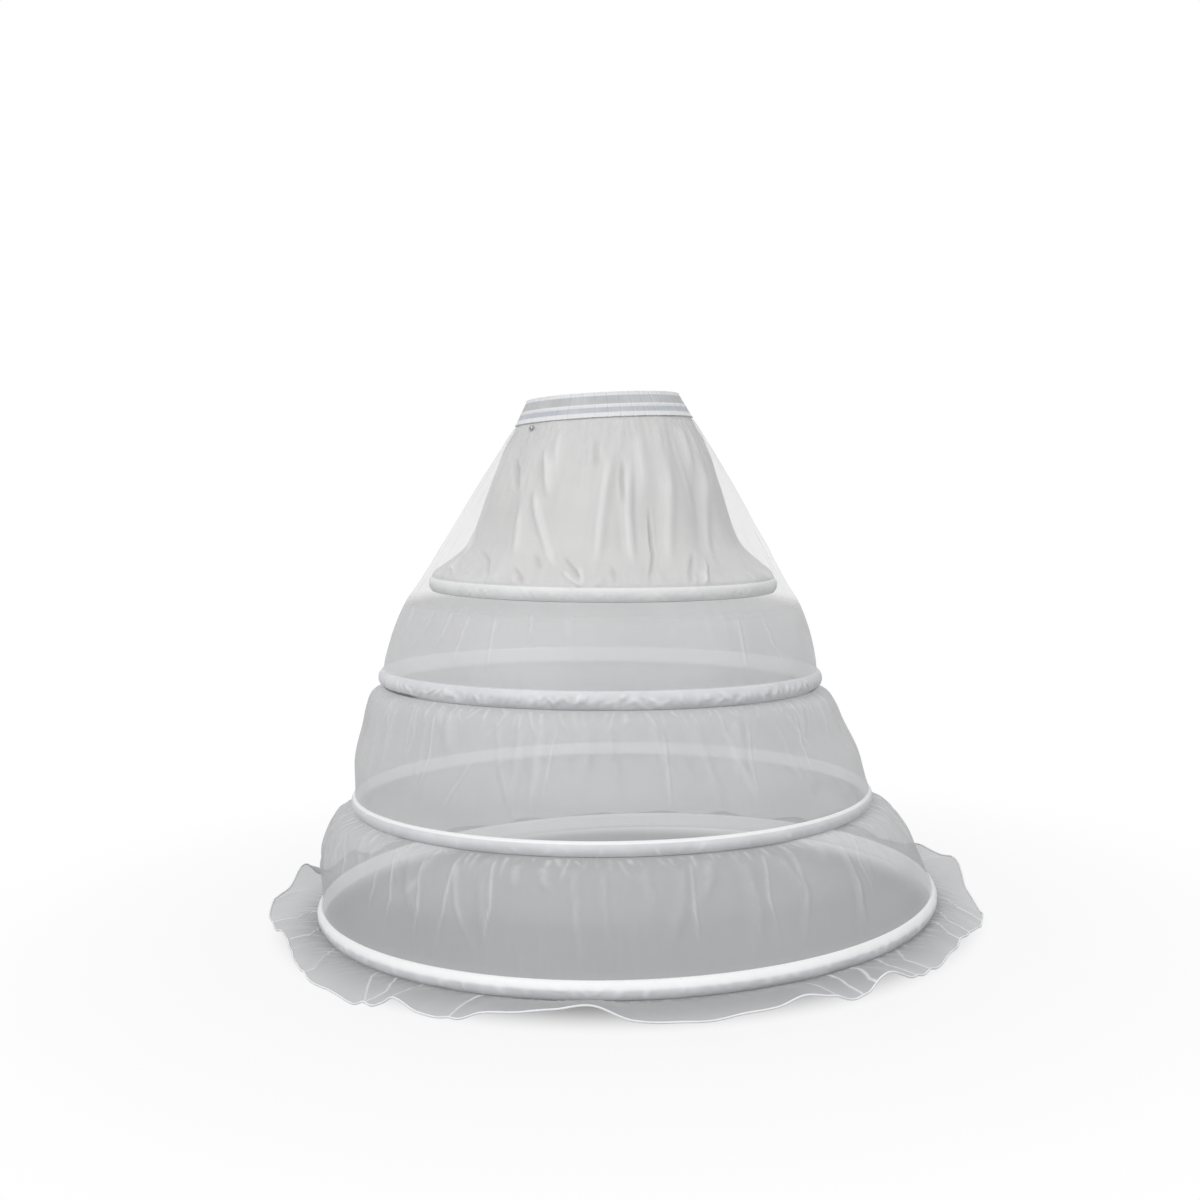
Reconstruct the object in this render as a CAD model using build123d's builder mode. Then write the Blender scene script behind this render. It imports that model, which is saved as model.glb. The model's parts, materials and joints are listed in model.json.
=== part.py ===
# Crinoline cage: a gathered satin yoke and a sheer outer skirt in three tiers, hung from an elastic
# waistband and held out by four steel hoops, with a gathered ruffle round the hem.
#
# Millimetres, +Z up, front towards -Y. The origin is the centre of the waist opening at its top edge,
# and the cage hangs below it as it is worn. Angles around the body start at +X, the wearer's left.

from build123d import *
from dataclasses import dataclass
from math import cos, degrees, radians, sin, tau
import os

os.makedirs("parts", exist_ok=True)

# Waistband, measured outside
waist_width = 232.0
waist_depth = 184.0
waist_lean = -1.8          # degrees, right side down
band_height = 39.0
band_spread = 21.0         # growth of each half axis down the band
band_wall = 3.2
ridge_height = 0.9         # stitched ridges stand this far out of the band
edge_ridge = 6.0           # tall, at the band's top and bottom
middle_ridge = 6.0         # tall, base of the ridge between the two stripes
middle_ridge_drop = 21.0   # crest of that ridge below the top edge
elastic_height = 30.0
elastic_wall = 1.2

# Cloth
yoke_wall = 1.2
sheer_wall = 1.2
ruffle_wall = 1.2
layer_gap = 0.4            # between yoke and sheer where the band holds both
seam_gap = 0.3             # between pieces sewn or lying together
gathers = 12               # soft folds around the body
points_per_gather = 4

# Steel hoops, their casings and joiners
steel_width = 6.0
steel_thickness = 1.0
steel_end_gap = 6.0        # between a hoop's two ends, at the back
sleeve_wall = 0.5
sleeve_length = 34.0
casing_fullness = 6.0      # room inside a casing, at its crest
casing_wall = 1.2
casing_reach = seam_gap + casing_fullness + casing_wall
over_yoke_gap = 12.0       # between the yoke's casing and the sheer that passes over it

# Stud
stud_radius = 4.6
stud_thickness = 1.2
cap_radius = 3.2
cap_thickness = 1.6
cap_taper = 25.0           # degrees
stud_angle = 220.5         # degrees around the body
stud_drop = 8.0            # its seat below the band


@dataclass
class Hoop:
    """A hoop's seat on the cloth, set by the seat above it, and how it hangs."""
    above_radius: float    # outside of the cloth at the seat above
    above_drop: float      # that seat below the waist's top edge
    flare: float           # wider than the seat above, all round
    fall: float            # below the seat above
    shift: float           # off the waist's centre, towards +X
    lean: float            # degrees, right side down
    nod: float             # degrees, front side down
    casing_height: float

    @property
    def radius(self):
        return self.above_radius + self.flare

    @property
    def drop(self):
        return self.above_drop + self.fall

    @property
    def plane(self):
        return Plane(Location((self.shift, 0, -self.drop), (self.nod, self.lean, 0)))

    @property
    def casing_top(self):
        return self.plane.offset(self.casing_height / 2)

    @property
    def casing_bottom(self):
        return self.plane.offset(-self.casing_height / 2)


# Each hoop in turn, from the waist down: flare, fall, shift, lean, nod, casing height
hoop_settings = {
    "yoke": (127.5, 247.0, -5.0, 1.4, 1.2, 20.0),
    "upper": (70.0, 143.0, -12.0, 1.3, -0.4, 26.0),
    "middle": (62.0, 183.0, 2.0, 0.4, -0.3, 21.0),
    "hem": (74.0, 156.0, 22.0, -0.7, 0.0, 26.0),
}
hoops = {}
seat_radius = waist_width / 2 + band_spread
seat_drop = band_height
for hoop_name, settings in hoop_settings.items():
    hoops[hoop_name] = Hoop(seat_radius, seat_drop, *settings)
    seat_radius = hoops[hoop_name].radius
    seat_drop = hoops[hoop_name].drop

# Each stretch of a wall of cloth, from one seat to the next: the share of the way down, how far it
# stands out from a straight line between the two, and how deep its gathers are there
yoke_levels = [(0, 0, 0.4), (0.40, -12, 3.5), (0.78, -28, 4.5), (0.93, -10, 6.0), (1, 0, 0)]
over_yoke_levels = [(0, 0, 0.3), (0.40, 2.5, 2.5)]
upper_levels = [(0, 0, 3.0), (0.22, 8, 3.0), (0.65, 8, 3.0), (1, 0, 0)]
middle_levels = [(0, 0, 0.3), (0.08, 15, 3.0), (0.35, 17, 2.5), (0.75, 13, 2.5), (1, 0, 0)]
lower_levels = [(0, 0, 0.3), (0.07, 24, 4.0), (0.20, 32, 4.0), (0.55, 28, 3.0), (1, 0, 0)]

# The ruffle's outer edge in front and at the sides: degrees around the body, how far it stands out
# from the hem hoop's cloth, and its rise above the seam
ruffle_front = [
    (181, 89, 0), (201, 56, 4), (222, 89, 7), (228, 88, -1), (232, 89, -3), (236, 88, 3), (238, 86, 16),
    (242, 88, 5), (247, 89, 1), (251, 87, 15), (256, 86, 17), (260, 84, 22), (265, 82, 26), (270, 86, 10),
    (277, 88, 4), (283, 87, 8), (288, 86, 10), (292, 85, 18), (297, 87, 6), (301, 88, 3), (305, 86, 21),
    (310, 88, 5), (333, 52, -12), (356, 81, -34), (366, 85, -24), (370, 88, 8), (382, 88, 10),
]
ruffle_back = {"first": 393, "last": 519, "lobes": 9, "reach": 86, "rise": 9, "swing": 8}
ruffle_left = [(526, 80, 32), (532, 80, 20)]
points_per_fold = 3
ruffle_arch = 5.0          # rise of the ruffle's middle above a straight line from seam to edge

waist_plane = Plane(Location((0, 0, 0), (0, waist_lean, 0)))
band_bottom = waist_plane.offset(-band_height)
skirt_top = band_bottom.offset(-seam_gap)


def between(upper, lower, share):
    """Plane part of the way from one plane to another."""
    normal = upper.z_dir * (1 - share) + lower.z_dir * share
    return Plane(
        origin=upper.origin * (1 - share) + lower.origin * share,
        x_dir=Vector(0, 1, 0).cross(normal),
        z_dir=normal,
    )


def gather_wave(angle):
    """Uneven gathers: 1 on a full ridge, -1 in a full valley."""
    return cos(gathers * angle + 0.9 * sin(2 * angle)) * (0.75 + 0.25 * cos(3 * angle + 1))


def outline(half_width, half_depth, gather_depth=0):
    """Points of a closed outline of cloth, flat on its level."""
    count = gathers * points_per_gather
    points = []
    for step in range(count):
        angle = tau * (step + 0.5) / count
        reach = gather_depth * gather_wave(angle)
        points.append(((half_width + reach) * cos(angle), (half_depth + reach) * sin(angle)))
    return points


def ring(plane, *sizes):
    """An outline set in its plane."""
    return [plane.from_local_coords((x, y, 0)) for x, y in outline(*sizes)]


def strip(one, two, inwards=False):
    """Flat facets between two rings. They face inwards with the same diagonals as outwards."""
    facets = []
    for step in range(len(one)):
        after = (step + 1) % len(one)
        for corners in ([one[step], two[step], one[after]], [two[step], two[after], one[after]]):
            facets.append(Face(Wire.make_polygon(corners[::-1] if inwards else corners)))
    return facets


def closed_wall(outside, inside):
    """Solid between two skins, each a list of rings from the same end of the wall."""
    facets = strip(inside[0], outside[0]) + strip(outside[-1], inside[-1])
    for one, two in zip(outside, outside[1:]):
        facets += strip(one, two)
    for one, two in zip(inside, inside[1:]):
        facets += strip(one, two, inwards=True)
    return Solid(Shell(facets))


@dataclass
class Seat:
    """A level that a wall of cloth passes through."""
    plane: Plane
    half_width: float
    half_depth: float


def hoop_seats(hoop):
    """The two levels at which cloth meets a hoop's casing."""
    return [Seat(plane, hoop.radius, hoop.radius) for plane in (hoop.casing_top, hoop.casing_bottom)]


def cloth_levels(start, end, profile):
    """Levels of a wall of cloth from one seat to the next. An oval soon rounds out into a circle."""
    levels = []
    for share, stand_off, gather_depth in profile:
        half_width = start.half_width * (1 - share) + end.half_width * share + stand_off
        half_depth = half_width - (start.half_width - start.half_depth) * (1 - share) ** 3
        levels.append((between(start.plane, end.plane, share), half_width, half_depth, gather_depth))
    return levels


def cloth_wall(levels, last, thickness):
    """Wall of gathered cloth through its levels and down to its last seat."""
    levels = levels + [(last.plane, last.half_width, last.half_depth, 0)]
    outside = [ring(*level) for level in levels]
    inside = []
    for plane, half_width, half_depth, gather_depth in levels:
        inside.append(ring(plane, half_width - thickness, half_depth - thickness, gather_depth))
    return closed_wall(outside, inside)


def section_plane(hoop, angle):
    """Upright plane through the hoop's axis, with x outwards and y along the axis."""
    plane = hoop.plane
    outwards = plane.x_dir * cos(radians(angle)) + plane.y_dir * sin(radians(angle))
    return Plane(origin=plane.origin, x_dir=outwards, z_dir=outwards.cross(plane.z_dir))


def finish(part, name):
    part.label = name
    export_step(part, f"parts/{name}.step")


# Waistband: a folded band with three stitched ridges and two flat stripes between them
band_profile = [
    (0, ridge_height),
    (edge_ridge, 0),
    (middle_ridge_drop - middle_ridge / 2, 0),
    (middle_ridge_drop, ridge_height),
    (middle_ridge_drop + middle_ridge / 2, 0),
    (band_height - edge_ridge, 0),
    (band_height, ridge_height),
]


def band_axes(drop, inset):
    """Half axes of the band's outside at a level, less an inset."""
    spread = band_spread * drop / band_height
    return waist_width / 2 + spread - inset, waist_depth / 2 + spread - inset


with BuildPart() as waistband:
    outside = [ring(waist_plane.offset(-drop), *band_axes(drop, -ridge)) for drop, ridge in band_profile]
    inside = [ring(waist_plane.offset(-drop), *band_axes(drop, band_wall)) for drop in (0, band_height)]
    add(closed_wall(outside, inside))
finish(waistband.part, "waistband")

# Waist elastic: a flat band behind the waistband, which draws it in
elastic_top = (band_height - elastic_height) / 2
elastic_bottom = elastic_top + elastic_height
elastic_inset = band_wall + seam_gap
with BuildPart() as waist_elastic:
    skins = []
    for inset in (elastic_inset, elastic_inset + elastic_wall):
        levels = [waist_plane.offset(-drop) for drop in (elastic_top, elastic_bottom)]
        sizes = [band_axes(drop, inset) for drop in (elastic_top, elastic_bottom)]
        skins.append([ring(level, *size) for level, size in zip(levels, sizes)])
    add(closed_wall(*skins))
finish(waist_elastic.part, "waist_elastic")

# Satin yoke: the inner, opaque layer, gathered into the band and puckered above its hoop
yoke_start = Seat(skirt_top, *band_axes(band_height, sheer_wall + layer_gap))
yoke_top, yoke_bottom = hoop_seats(hoops["yoke"])
with BuildPart() as satin_yoke:
    add(cloth_wall(cloth_levels(yoke_start, yoke_top, yoke_levels), yoke_bottom, yoke_wall))
finish(satin_yoke.part, "satin_yoke")

# Upper sheer: from the band, outside the yoke and over its hoop, to the second hoop
sheer_start = Seat(skirt_top, *band_axes(band_height, 0))
over_radius = hoops["yoke"].radius + casing_reach + over_yoke_gap
over_yoke = Seat(hoops["yoke"].plane, over_radius, over_radius)
upper_top, upper_bottom = hoop_seats(hoops["upper"])
with BuildPart() as upper_sheer:
    levels = cloth_levels(sheer_start, over_yoke, over_yoke_levels)
    levels += cloth_levels(over_yoke, upper_top, upper_levels)
    add(cloth_wall(levels, upper_bottom, sheer_wall))
finish(upper_sheer.part, "upper_sheer")


def sheer_tier(hoop_above, hoop_below, profile):
    """A tier of sheer cloth hung from one hoop's seam to the next hoop."""
    start = Seat(hoop_above.casing_bottom.offset(-seam_gap), hoop_above.radius, hoop_above.radius)
    top, bottom = hoop_seats(hoop_below)
    with BuildPart() as tier:
        add(cloth_wall(cloth_levels(start, top, profile), bottom, sheer_wall))
    return tier


middle_sheer = sheer_tier(hoops["upper"], hoops["middle"], middle_levels)
finish(middle_sheer.part, "middle_sheer")
lower_sheer = sheer_tier(hoops["middle"], hoops["hem"], lower_levels)
finish(lower_sheer.part, "lower_sheer")

# Each hoop is a strip of flat spring steel inside a sewn tape, closed at the back by a crimped sleeve
steel_inset = seam_gap + sleeve_wall + seam_gap
back = 90.0


def casing_part(hoop):
    """Tape sewn along both edges, full in the middle where the steel runs."""
    seam = hoop.radius + seam_gap
    crest = seam + casing_fullness
    outside = [
        ring(hoop.casing_top, seam, seam),
        ring(hoop.plane, crest + casing_wall, crest + casing_wall),
        ring(hoop.casing_bottom, seam, seam),
    ]
    inside = [ring(hoop.plane, crest, crest)]
    with BuildPart() as casing:
        add(closed_wall(outside, inside))
    return casing


def steel_part(hoop):
    """Open ring of flat steel."""
    middle = hoop.radius + steel_inset + steel_thickness / 2
    gap_angle = degrees(steel_end_gap / middle)
    with BuildPart() as steel:
        with BuildSketch(section_plane(hoop, back + gap_angle / 2)):
            with Locations((middle, 0)):
                Rectangle(steel_thickness, steel_width)
        revolve(axis=Axis(hoop.plane.origin, hoop.plane.z_dir), revolution_arc=360 - gap_angle)
    return steel


def joiner_part(hoop):
    """Flat sleeve round the two ends of the steel."""
    middle = hoop.radius + steel_inset + steel_thickness / 2
    sleeve_angle = degrees(sleeve_length / middle)
    hollow = (steel_thickness + 2 * seam_gap, steel_width + 2 * seam_gap)
    with BuildPart() as joiner:
        with BuildSketch(section_plane(hoop, back - sleeve_angle / 2)):
            with Locations((middle, 0)):
                Rectangle(hollow[0] + 2 * sleeve_wall, hollow[1] + 2 * sleeve_wall)
                Rectangle(*hollow, mode=Mode.SUBTRACT)
        revolve(axis=Axis(hoop.plane.origin, hoop.plane.z_dir), revolution_arc=sleeve_angle)
    return joiner


for hoop_name, hoop in hoops.items():
    finish(casing_part(hoop).part, f"{hoop_name}_casing")
    finish(steel_part(hoop).part, f"{hoop_name}_hoop")
    finish(joiner_part(hoop).part, f"{hoop_name}_joiner")


# Hem ruffle: one strip of sheer cloth, sewn under the hem casing and standing out in uneven lobes
def ruffle_folds():
    """Every point of the ruffle's outer edge, once around the body."""
    folds = list(ruffle_front)
    count = 2 * ruffle_back["lobes"]
    for step in range(count + 1):
        share = step / count
        angle = ruffle_back["first"] + (ruffle_back["last"] - ruffle_back["first"]) * share
        swing = ruffle_back["swing"] * (1 if step % 2 else -1) * (0.7 + 0.3 * cos(5 * share + 1))
        folds.append((angle + 1.5 * sin(4 * step), ruffle_back["reach"], ruffle_back["rise"] + swing))
    return folds + ruffle_left


def smooth(folds, turn):
    """Reach and rise of the edge at a place in the list of folds, on a smooth curve through them all."""
    index = int(turn)
    share = turn - index
    count = len(folds)
    near = []
    for step in (-1, 0, 1, 2):
        laps, place = divmod(index + step, count)
        angle, reach, rise = folds[place]
        near.append((angle + 360 * laps, reach, rise))
    angles = [fold[0] for fold in near]
    span = angles[2] - angles[1]
    values = [angles[1] + span * share]
    for item in (1, 2):
        slope_in = (near[2][item] - near[0][item]) / (angles[2] - angles[0]) * span
        slope_out = (near[3][item] - near[1][item]) / (angles[3] - angles[1]) * span
        fall_off = near[1][item] - near[2][item]
        cubic = 2 * fall_off + slope_in + slope_out
        square = -3 * fall_off - 2 * slope_in - slope_out
        values.append(((cubic * share + square) * share + slope_in) * share + near[1][item])
    return values


def ruffle_ring(edge_share, height):
    """Ring of points around the ruffle, from its seam at 0 to its outer edge at 1."""
    seam_radius = hoops["hem"].radius + seam_gap
    plane = hoops["hem"].casing_bottom.offset(-seam_gap)
    folds = ruffle_folds()
    points = []
    for step in range(len(folds) * points_per_fold):
        angle, reach, rise = smooth(folds, step / points_per_fold)
        radius = seam_radius + reach * edge_share
        lift = rise * edge_share + ruffle_arch * sin(radians(180 * edge_share)) + height
        place = (radius * cos(radians(angle)), radius * sin(radians(angle)), lift)
        points.append(plane.from_local_coords(place))
    return points


with BuildPart() as hem_ruffle:
    upper_side = [ruffle_ring(share, 0) for share in (0, 0.5, 1)]
    lower_side = [ruffle_ring(share, -ruffle_wall) for share in (0, 0.5, 1)]
    add(closed_wall(upper_side, lower_side))
finish(hem_ruffle.part, "hem_ruffle")

# Waist stud: a small press stud on the cloth just below the band
stud_spot = Vector(
    (sheer_start.half_width + stud_drop) * cos(radians(stud_angle)),
    (sheer_start.half_depth + stud_drop) * sin(radians(stud_angle)),
    -(band_height + stud_drop),
)
stud_facet = upper_sheer.faces().sort_by_distance(stud_spot)[0]
facet_plane = Plane(origin=stud_facet.center(), z_dir=stud_facet.normal_at())
over_facet = facet_plane.to_local_coords(stud_spot)
stud_seat = Plane(
    origin=facet_plane.from_local_coords((over_facet.X, over_facet.Y, seam_gap)),
    z_dir=facet_plane.z_dir,
)
with BuildPart() as waist_stud:
    with BuildSketch(stud_seat):
        Circle(stud_radius)
    extrude(amount=stud_thickness)
    with BuildSketch(stud_seat.offset(stud_thickness)):
        Circle(cap_radius)
    extrude(amount=cap_thickness, taper=cap_taper)
finish(waist_stud.part, "waist_stud")
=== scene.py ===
"""Crinoline cage: a gathered satin yoke and sheer tiers on four steel hoops, with a hem ruffle.

Metres, +Z up, front towards -Y. The origin is the centre of the waist opening at its top edge. Angles
around the body start at +X, the wearer's left. Cloth is woven by columns around the body and rows down it.
"""

import json

import bpy
import numpy as np
from bpy.props import FloatProperty, FloatVectorProperty, PointerProperty
from mathutils import Matrix, Vector

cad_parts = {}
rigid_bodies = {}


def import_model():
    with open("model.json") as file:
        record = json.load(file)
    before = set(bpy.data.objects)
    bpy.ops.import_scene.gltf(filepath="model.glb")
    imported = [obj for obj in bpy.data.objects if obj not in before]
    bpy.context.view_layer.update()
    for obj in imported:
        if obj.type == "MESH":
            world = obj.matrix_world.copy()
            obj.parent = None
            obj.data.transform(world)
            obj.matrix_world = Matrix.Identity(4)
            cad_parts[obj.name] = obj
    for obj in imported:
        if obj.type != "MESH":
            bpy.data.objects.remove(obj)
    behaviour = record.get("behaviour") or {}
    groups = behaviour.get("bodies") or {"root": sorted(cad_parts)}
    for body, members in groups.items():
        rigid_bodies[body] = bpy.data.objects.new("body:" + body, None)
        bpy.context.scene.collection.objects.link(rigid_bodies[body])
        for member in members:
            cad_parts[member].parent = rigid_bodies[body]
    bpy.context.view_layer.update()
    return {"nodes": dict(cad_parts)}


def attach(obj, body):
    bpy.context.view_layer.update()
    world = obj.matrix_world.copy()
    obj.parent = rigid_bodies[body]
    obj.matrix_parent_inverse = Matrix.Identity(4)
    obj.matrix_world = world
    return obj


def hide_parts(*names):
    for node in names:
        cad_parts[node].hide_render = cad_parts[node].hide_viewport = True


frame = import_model()

bl_info = {
    "name": "Crinoline cage",
    "version": (1, 0, 0),
    "blender": (4, 5, 0),
    "location": "3D View > Sidebar > Crinoline",
    "description": "Makes a hoop petticoat of satin, sheer net, tape and spring steel",
    "category": "Add Mesh",
}

BODY = "root"
TAU = 2 * np.pi
UP, BACK = np.array([0.0, 0.0, 1.0]), np.array([0.0, 1.0, 0.0])

# The view: focal length in pixels of a 1200 pixel frame, place, turns in degrees, shift aside in pixels,
# width of the sensor in mm, and the near and far ends and the steps of a line that looks for the cloth
PICTURE = 1200
FOCAL = 1351.7
EYE = (0.0, -2.1046, -0.1865)
PITCH = 3.467
ROLL = -1.127
ASIDE = 6.64
SENSOR = 36.0
SIGHT_NEAR, SIGHT_FAR, SIGHT_STEPS = 1.2, 2.6, 2801

# Each hoop: shift towards the wearer's left, lean and nod in degrees, height of its casing
HOOP_SEATS = {
    "yoke": (-0.005, 1.4, 1.2, 0.020),
    "upper": (-0.012, 1.3, -0.4, 0.026),
    "middle": (0.002, 0.4, -0.3, 0.021),
    "hem": (0.022, -0.7, 0.0, 0.026),
}

# Waistband and elastic. Ridges are by drop and reach, and ruching is by waves and depth
WAIST_LEAN = -1.8
BAND_SPREAD = 0.021
BAND_WALL = 0.0032
RIDGES = ((0.0, 0.006), (0.021, 0.003), (0.039, 0.006))
RIDGE_HEIGHT = 0.0009
BAND_FOLD, EDGE_ROUND, EDGE_CENTRE, EDGE_REACH = 0.0007, 0.0006, 0.0012, 0.0017
RUCHING = ((131, 0.00020), (173, 0.00018), (89, 0.00022), (47, 0.00015))
ELASTIC_HEIGHT = 0.030
ELASTIC_WALL = 0.0012
ELASTIC_ROUND = 0.0002
ELASTIC_COLUMNS = 360

# Cloth: gaps between layers, its wall in the frame, how far its face lies inside the frame's, the valleys
# beside each fold, and the part of a tier that its casing covers
SEAM_GAP = 0.0003
LAYER_GAP = 0.0004
CLOTH_WALL = 0.0012
FACE_INSET = 0.0004
VALLEY_PLACE, VALLEY_DEPTH = 1.7, 0.32
TINY = 1e-6
CASING_ROOM = 0.022

# Where folds flatten: the length over which they come up below a seam and the share they start with, and
# the length over which they end above a casing. The yoke's folds also have little room near the waist
SEAM_RISE, YOKE_START, TIER_START = 0.006, 0.35, 0.25
YOKE_CASING_ROOM, YOKE_EASE, TIER_EASE = 0.020, 0.012, 0.010
YOKE_ROOM, YOKE_ROOM_START, YOKE_ROOM_GROWTH = 0.0003, 0.004, 0.16
# Fold height that spans the satin's painted shade, from darkest in the valleys to lightest on the ridges
YOKE_SHADE_DEPTH = 0.022

# Columns and rows of each piece
COLUMNS = 960
YOKE_ROWS, UPPER_ROWS, TIER_ROWS = 90, 88, 64
RUFFLE_COLUMNS, RUFFLE_ROWS = 1800, 26

# Each wall of cloth: share of the way down, stand-off from a straight line, depth of its soft gathers
YOKE_LEVELS = ((0, 0, 0.0004), (0.40, -0.012, 0.0035), (0.78, -0.028, 0.0045),
               (0.93, -0.010, 0.006), (1, 0, 0))
OVER_YOKE_LEVELS = ((0, 0, 0.0003), (0.40, 0.0025, 0.0025))
UPPER_LEVELS = ((0, 0, 0.003), (0.22, 0.008, 0.003), (0.65, 0.008, 0.003), (1, 0, 0))
MIDDLE_LEVELS = ((0, 0, 0.0003), (0.08, 0.015, 0.003), (0.35, 0.017, 0.0025),
                 (0.75, 0.013, 0.0025), (1, 0, 0))
LOWER_LEVELS = ((0, 0, 0.0003), (0.07, 0.024, 0.004), (0.20, 0.032, 0.004),
                (0.55, 0.028, 0.003), (1, 0, 0))
OVER_YOKE_GAP = 0.0195

# Satin creases that the picture shows: points in pixels, width, depth, painted highlight (painted shade
# below 0)
YOKE_CREASES = (
    (((534, 470), (540, 515), (550, 555), (561, 575)), 0.008, 0.006, 1.0),
    (((545, 436), (549, 470), (551, 500)), 0.007, 0.005, 0.8),
    (((628, 440), (628, 509), (636, 572)), 0.007, 0.006, 1.0),
    (((604, 430), (606, 470), (600, 520), (592, 575)), 0.008, 0.005, 0.7),
    (((662, 450), (668, 510), (672, 575)), 0.010, 0.004, 0.5),
    (((694, 450), (706, 510), (722, 575)), 0.011, 0.004, 0.5),
    (((524, 500), (520, 530), (514, 560)), 0.009, 0.005, 0.6),
    (((476, 520), (467, 550), (458, 584)), 0.006, 0.006, 1.0),
    (((561, 566), (575, 579), (590, 588)), 0.005, 0.006, 1.0),
    (((704, 552), (703, 570), (702, 584)), 0.004, 0.005, 1.0),
    (((580, 560), (582, 575), (584, 585)), 0.005, 0.004, 0.8),
    (((623, 455), (622, 480), (624, 512)), 0.003, -0.003, -0.7),
    (((649, 500), (654, 552), (646, 588)), 0.0028, -0.004, -1.0),
    (((598, 432), (596, 450), (597, 470)), 0.005, -0.004, -0.5),
    (((561, 552), (574, 568), (588, 582)), 0.004, -0.004, -0.8),
    (((692, 546), (690, 565), (689, 584)), 0.004, -0.004, -0.8),
    (((515, 455), (515, 470), (517, 495)), 0.007, -0.004, -0.6),
    (((480, 545), (485, 562), (489, 580)), 0.005, -0.003, -0.6),
    (((515, 562), (520, 574), (524, 586)), 0.004, -0.004, -0.8),
    (((534, 550), (537, 560), (541, 572)), 0.005, -0.003, -0.6),
    (((612, 560), (615, 574), (616, 586)), 0.004, -0.003, -0.5),
)

# Creases that the picture shows in each tier of net, by points in pixels
UPPER_CREASES = (
    ((438, 606), (424, 630), (408, 658)), ((455, 606), (440, 640), (420, 668)),
    ((476, 606), (462, 640), (450, 680)), ((421, 600), (409, 630), (396, 655)),
    ((500, 606), (492, 640), (486, 685)), ((760, 606), (775, 640), (790, 672)),
    ((735, 606), (742, 640), (748, 680)), ((533, 604), (530, 628), (527, 650)),
)
PLACKET = ((523, 428), (512, 431), (505, 436), (499, 446))
MIDDLE_CREASES = (
    ((460, 715), (447, 732), (435, 748)), ((511, 715), (497, 730), (483, 743)),
    ((475, 761), (447, 806), (427, 824)), ((523, 715), (519, 730), (516, 743)),
    ((425, 700), (412, 740), (398, 780)), ((445, 706), (430, 760), (416, 815)),
    ((402, 700), (386, 745), (371, 785)), ((790, 700), (806, 745), (822, 790)),
    ((745, 712), (752, 760), (760, 815)), ((560, 722), (548, 770), (541, 828)),
    ((662, 722), (668, 770), (671, 828)),
)
LOWER_CREASES = (
    ((435, 852), (417, 910), (409, 956)), ((470, 852), (442, 913), (435, 946), (422, 961)),
    ((374, 865), (369, 890), (364, 920)), ((397, 852), (388, 900), (379, 948)),
    ((823, 817), (850, 833), (875, 850)), ((500, 856), (488, 910), (478, 968)),
    ((760, 850), (772, 900), (784, 950)), ((850, 830), (868, 865), (884, 905)),
    ((690, 860), (696, 910), (702, 965)), ((352, 830), (344, 860), (340, 890)),
)

# Casings: rows of stitches and the top line and shade in metres down the tape, its wrinkles (count, width,
# depth), and its fullness. The top line and shade is the width of a bright line along the top and the start
# of the painted shade that darkens the lower edge
TAPES = {
    "yoke": {"stitches": (0.0205,), "piping": (0.0055, 0.0235),
             "wrinkles": (120, 0.0030, 0.0007), "full": 0.6},
    "upper": {"stitches": (0.0025, 0.0275), "piping": None,
              "wrinkles": (190, 0.0045, 0.0016), "full": 1.0},
    "middle": {"stitches": (0.0025, 0.0215), "piping": (0.0050, 0.0245),
               "wrinkles": (60, 0.0050, 0.0004), "full": 0.85},
    "hem": {"stitches": (0.0025, 0.0275), "piping": (0.0130, 0.0310),
            "wrinkles": (130, 0.0060, 0.0008), "full": 1.0},
}
# The yoke tape is lighter than the other tapes to make up for the shade the upper net casts on it: painted
# light
YOKE_TAPE = (0.96, 0.96, 0.96)

# Each tape stands a little off the net, holds its bulge within a limit, and closes just inside the net
TAPE_ROWS, TAPE_INNER_ROWS = 15, 6
TAPE_SEAM, TAPE_LIMIT, TAPE_BACK, TAPE_WALL = 0.0005, 0.0012, 0.0010, 0.0003

# The ruffle's outer edge: degrees around the body, then how far it stands out and rises in mm
RUFFLE_FRONT = [
    (181, 89, 0), (201, 56, 4), (222, 89, 7), (228, 88, -1), (232, 89, -3), (236, 88, 3), (238, 86, 16),
    (242, 88, 5), (247, 89, 1), (251, 87, 15), (256, 86, 17), (260, 84, 22), (265, 82, 26), (270, 86, 10),
    (277, 88, 4), (283, 87, 8), (288, 86, 10), (292, 85, 18), (297, 87, 6), (301, 88, 3), (305, 86, 21),
    (310, 88, 5), (333, 52, -12), (356, 81, -34), (366, 85, -24), (370, 88, 8), (382, 88, 10),
]
RUFFLE_BACK = {"first": 393, "last": 519, "lobes": 9, "reach": 86, "rise": 9, "swing": 8}
RUFFLE_LEFT = [(526, 80, 32), (532, 80, 20)]

# Sharp folds across the ruffle, each by its two ends in the picture
RUFFLE_LINES = [
    ((327, 938), (313, 976)), ((376, 974), (366, 1001)), ((398, 977), (387, 994)), ((422, 985), (407, 995)),
    ((483, 995), (468, 1006)), ((867, 955), (889, 971)), ((847, 971), (870, 990)), ((829, 977), (848, 990)),
    ((801, 985), (810, 989)), ((317, 884), (277, 904)), ((315, 910), (293, 921)), ((316, 928), (300, 941)),
    ((939, 891), (963, 901)), ((933, 907), (960, 920)), ((931, 920), (965, 933)), ((896, 949), (907, 965)),
]

# The ruffle's gathers, its depth in the picture and as cloth, how it arches, lies lower than its seam and
# settles there, and its sharp folds, waves and rolled edge
RUFFLE_GATHERS = 210
RUFFLE_DEPTH, RUFFLE_CLOTH = 0.087, 0.09
RUFFLE_ARCH, RUFFLE_SINK, RUFFLE_SETTLE = 0.005, 0.0012, 0.10
FOLD_WIDTH, FOLD_SLANT = 0.0016, 1.2
RUFFLE_WAVES = ((57, 0.0004), (23, 0.0012), (37, 0.0014))
ROLLED_EDGE = 0.0014

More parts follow.
